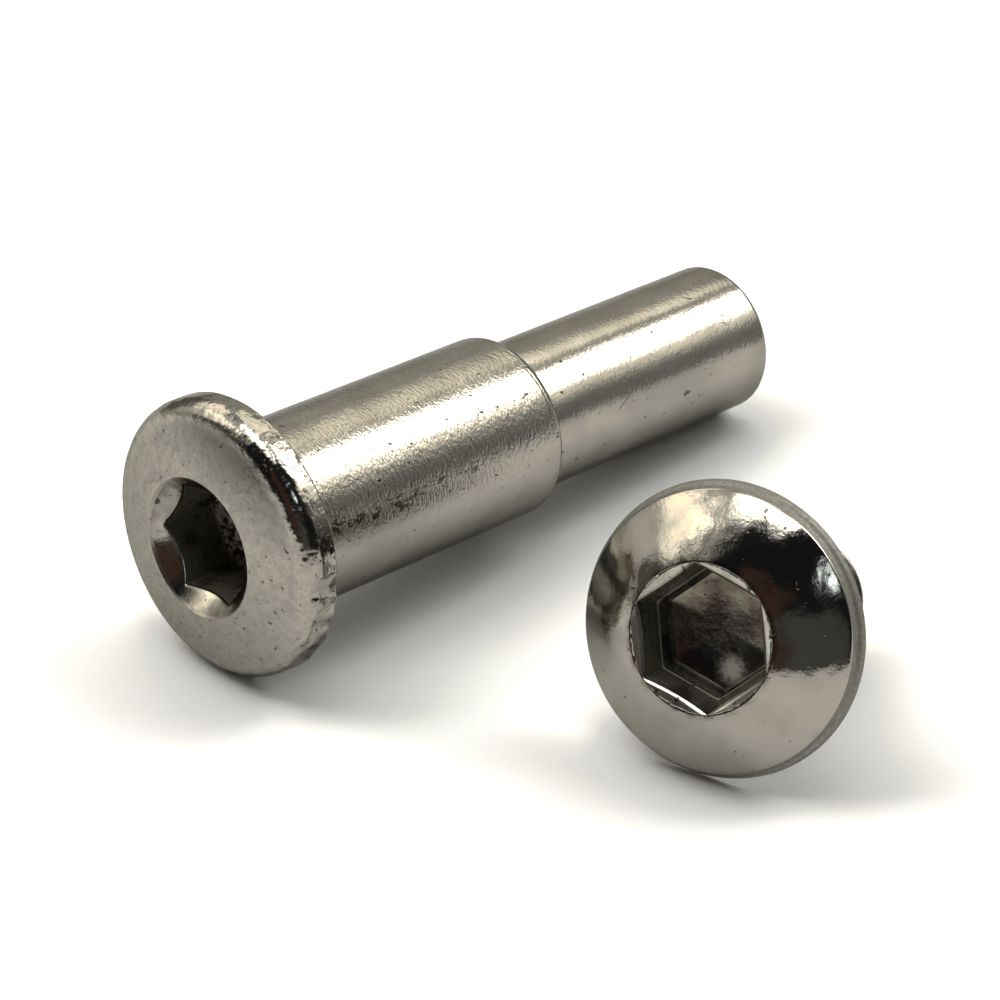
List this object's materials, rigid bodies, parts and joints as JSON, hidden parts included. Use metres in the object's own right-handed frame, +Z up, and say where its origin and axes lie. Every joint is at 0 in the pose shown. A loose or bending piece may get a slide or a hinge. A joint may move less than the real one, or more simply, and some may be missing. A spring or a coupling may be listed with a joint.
{
  "type": "binding barrel screw",
  "caption": "Stepped barrel nut and short button-head screw, both with hexagon key sockets in domed heads, lying side by side.",
  "frame": {"origin": "centre of the set's footprint, on the surface it lies on", "axes": "+Z up, +X along the barrel from its head to its tail, +Y to the barrel's left"},
  "size_m": [0.036, 0.034, 0.0135],
  "materials": {
    "nickel_plate": "Bright nickel plate over cold-headed steel: polished domes, satin drawn cylinders with fine lengthwise sparkle, small pits."
  },
  "bodies": {
    "root": {"barrel": "nickel_plate", "screw": "nickel_plate"}
  },
  "joints": []
}
